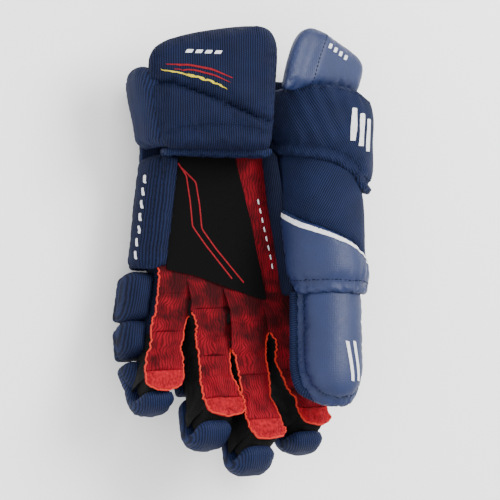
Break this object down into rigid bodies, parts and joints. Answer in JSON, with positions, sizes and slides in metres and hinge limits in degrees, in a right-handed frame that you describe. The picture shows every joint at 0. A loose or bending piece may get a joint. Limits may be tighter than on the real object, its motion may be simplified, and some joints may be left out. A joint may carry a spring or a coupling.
{
  "type": "hockey glove",
  "caption": "Padded left ice hockey glove lying palm up: jointed fingers and thumb, open cuff, red palm, navy rolls.",
  "frame": {"origin": "centre of the outline on the surface the glove lies on, back of the hand down", "axes": "+Z out of the palm, +Y towards the cuff, +X towards the thumb side"},
  "size_m": [0.208, 0.3588, 0.1215],
  "materials": {
    "navy_knit": "ribbed woven nylon, matt",
    "navy_smooth": "coated fabric with a fine dimple, semi-matt",
    "red_palm": "printed synthetic suede, matt",
    "black_patch": "matt synthetic suede",
    "black_knit": "stretch mesh, matt",
    "lining": "brushed lining, matt",
    "plate": "moulded polyethylene"
  },
  "bodies": {
    "hand": {"palm_panel": "red_palm", "palm_patch": "black_patch", "ulnar_strip": "navy_knit", "thumb_web_strip": "navy_knit", "ulnar_side_pad": "navy_knit", "thumb_base_gusset": "navy_knit", "backhand_liner": "lining", "backhand_plates": "plate", "knuckle_roll": "navy_knit", "hand_roll": "navy_knit", "wrist_roll": "navy_knit", "wrist_band": "navy_knit", "cuff_binding": "navy_knit"},
    "palm_cuff": {"palm_cuff_pad": "navy_knit", "ulnar_cuff_pad": "navy_knit"},
    "back_cuff": {"back_cuff_roll": "navy_knit"},
    "thumb_cuff": {"thumb_cuff_roll": "navy_smooth"},
    "thumb_base": {"thumb_base_panel": "navy_knit", "thumb_guard": "navy_smooth"},
    "thumb_tip": {"thumb_shell": "navy_smooth", "thumb_plate": "plate", "thumb_sleeve": "black_knit", "thumb_binding": "navy_knit"},
    "pinky_proximal": {"pinky_proximal_roll": "navy_knit", "pinky_proximal_plate": "plate", "pinky_proximal_gussets": "black_knit", "pinky_proximal_palm": "red_palm"},
    "pinky_middle": {"pinky_middle_roll": "navy_knit", "pinky_middle_gussets": "black_knit", "pinky_middle_palm": "red_palm"},
    "pinky_tip": {"pinky_tip_cap": "navy_knit", "pinky_tip_sleeve": "red_palm"},
    "ring_proximal": {"ring_proximal_roll": "navy_knit", "ring_proximal_plate": "plate", "ring_proximal_gussets": "black_knit", "ring_proximal_palm": "red_palm"},
    "ring_middle": {"ring_middle_roll": "navy_knit", "ring_middle_gussets": "black_knit", "ring_middle_palm": "red_palm"},
    "ring_tip": {"ring_tip_cap": "navy_knit", "ring_tip_sleeve": "red_palm"},
    "middle_proximal": {"middle_proximal_roll": "navy_knit", "middle_proximal_plate": "plate", "middle_proximal_gussets": "black_knit", "middle_proximal_palm": "red_palm"},
    "middle_middle": {"middle_middle_roll": "navy_knit", "middle_middle_gussets": "black_knit", "middle_middle_palm": "red_palm"},
    "middle_tip": {"middle_tip_cap": "navy_knit", "middle_tip_sleeve": "red_palm"},
    "index_proximal": {"index_proximal_roll": "navy_knit", "index_proximal_plate": "plate", "index_proximal_gussets": "black_knit", "index_proximal_palm": "red_palm"},
    "index_middle": {"index_middle_roll": "navy_knit", "index_middle_gussets": "black_knit", "index_middle_palm": "red_palm"},
    "index_tip": {"index_tip_cap": "navy_knit", "index_tip_sleeve": "red_palm"}
  },
  "joints": [
    {"name": "pinky_knuckle", "type": "hinge", "parent": "hand", "child": "pinky_proximal", "pos_m": [-0.0609, -0.01652, 0.035], "axis": [-0.9925, 0, 0.1219], "range_deg": [-6.5, 40], "stiffness_Nm_per_rad": 1},
    {"name": "pinky_middle_joint", "type": "hinge", "parent": "pinky_proximal", "child": "pinky_middle", "pos_m": [-0.0695, -0.0542, 0.04105], "axis": [-0.9925, 0, 0.1219], "range_deg": [-10, 40], "stiffness_Nm_per_rad": 0.6},
    {"name": "pinky_tip_joint", "type": "hinge", "parent": "pinky_middle", "child": "pinky_tip", "pos_m": [-0.07518, -0.08071, 0.05082], "axis": [-0.9925, 0, 0.1219], "range_deg": [-6.2, 24.2], "stiffness_Nm_per_rad": 0.35},
    {"name": "ring_knuckle", "type": "hinge", "parent": "hand", "child": "ring_proximal", "pos_m": [-0.033, -0.02452, 0.035], "axis": [-0.9744, 0, 0.225], "range_deg": [-9.5, 40], "stiffness_Nm_per_rad": 1},
    {"name": "ring_middle_joint", "type": "hinge", "parent": "ring_proximal", "child": "ring_middle", "pos_m": [-0.03744, -0.07172, 0.045], "axis": [-0.9744, 0, 0.225], "range_deg": [-14, 42], "stiffness_Nm_per_rad": 0.6},
    {"name": "ring_tip_joint", "type": "hinge", "parent": "ring_middle", "child": "ring_tip", "pos_m": [-0.03873, -0.1058, 0.06255], "axis": [-0.9744, 0, 0.225], "range_deg": [-8.6, 25.4], "stiffness_Nm_per_rad": 0.35},
    {"name": "middle_knuckle", "type": "hinge", "parent": "hand", "child": "middle_proximal", "pos_m": [0.0005, -0.03252, 0.035], "axis": [-0.9744, 0, 0.225], "range_deg": [-9.5, 40], "stiffness_Nm_per_rad": 1},
    {"name": "middle_middle_joint", "type": "hinge", "parent": "middle_proximal", "child": "middle_middle", "pos_m": [-0.00381, -0.08562, 0.04609], "axis": [-0.9744, 0, 0.225], "range_deg": [-14, 42], "stiffness_Nm_per_rad": 0.6},
    {"name": "middle_tip_joint", "type": "hinge", "parent": "middle_middle", "child": "middle_tip", "pos_m": [-0.00471, -0.12328, 0.06537], "axis": [-0.9744, 0, 0.225], "range_deg": [-8.6, 25.4], "stiffness_Nm_per_rad": 0.35},
    {"name": "index_knuckle", "type": "hinge", "parent": "hand", "child": "index_proximal", "pos_m": [0.033, -0.04052, 0.035], "axis": [-0.9925, 0, 0.1219], "range_deg": [-6, 7], "stiffness_Nm_per_rad": 1},
    {"name": "index_middle_joint", "type": "hinge", "parent": "index_proximal", "child": "index_middle", "pos_m": [0.03889, -0.08419, 0.03968], "axis": [-0.9925, 0, 0.1219], "range_deg": [-9, 10], "stiffness_Nm_per_rad": 0.6},
    {"name": "index_tip_joint", "type": "hinge", "parent": "index_middle", "child": "index_tip", "pos_m": [0.04403, -0.11567, 0.04905], "axis": [-0.9925, 0, 0.1219], "range_deg": [-5.6, 6.2], "stiffness_Nm_per_rad": 0.35},
    {"name": "thumb_spread", "type": "hinge", "parent": "hand", "child": "thumb_base", "pos_m": [0.0895, 0.06048, 0.06], "axis": [0, 0, 1], "range_deg": [-3, 13], "stiffness_Nm_per_rad": 2},
    {"name": "thumb_knuckle", "type": "hinge", "parent": "thumb_base", "child": "thumb_tip", "pos_m": [0.0575, -0.03352, 0.078], "axis": [-1, 0, 0], "range_deg": [-5, 9], "stiffness_Nm_per_rad": 1.2},
    {"name": "palm_cuff_hinge", "type": "hinge", "parent": "hand", "child": "palm_cuff", "pos_m": [-0.0405, 0.08148, 0.078], "axis": [1, 0, 0], "range_deg": [0, 25], "stiffness_Nm_per_rad": 2.5},
    {"name": "back_cuff_hinge", "type": "hinge", "parent": "hand", "child": "back_cuff", "pos_m": [0.0015, 0.10548, 0.018], "axis": [1, 0, 0], "range_deg": [-8, 7], "stiffness_Nm_per_rad": 2.5},
    {"name": "thumb_cuff_hinge", "type": "hinge", "parent": "hand", "child": "thumb_cuff", "pos_m": [0.0594, 0.13248, 0.0748], "axis": [0.9135, 0, -0.4067], "range_deg": [0, 18], "stiffness_Nm_per_rad": 1.5}
  ],
  "couplings": [
    {"joint": "pinky_tip_joint", "follows": "pinky_middle_joint", "ratio": 0.6},
    {"joint": "ring_tip_joint", "follows": "ring_middle_joint", "ratio": 0.6},
    {"joint": "middle_tip_joint", "follows": "middle_middle_joint", "ratio": 0.6},
    {"joint": "index_tip_joint", "follows": "index_middle_joint", "ratio": 0.6}
  ]
}
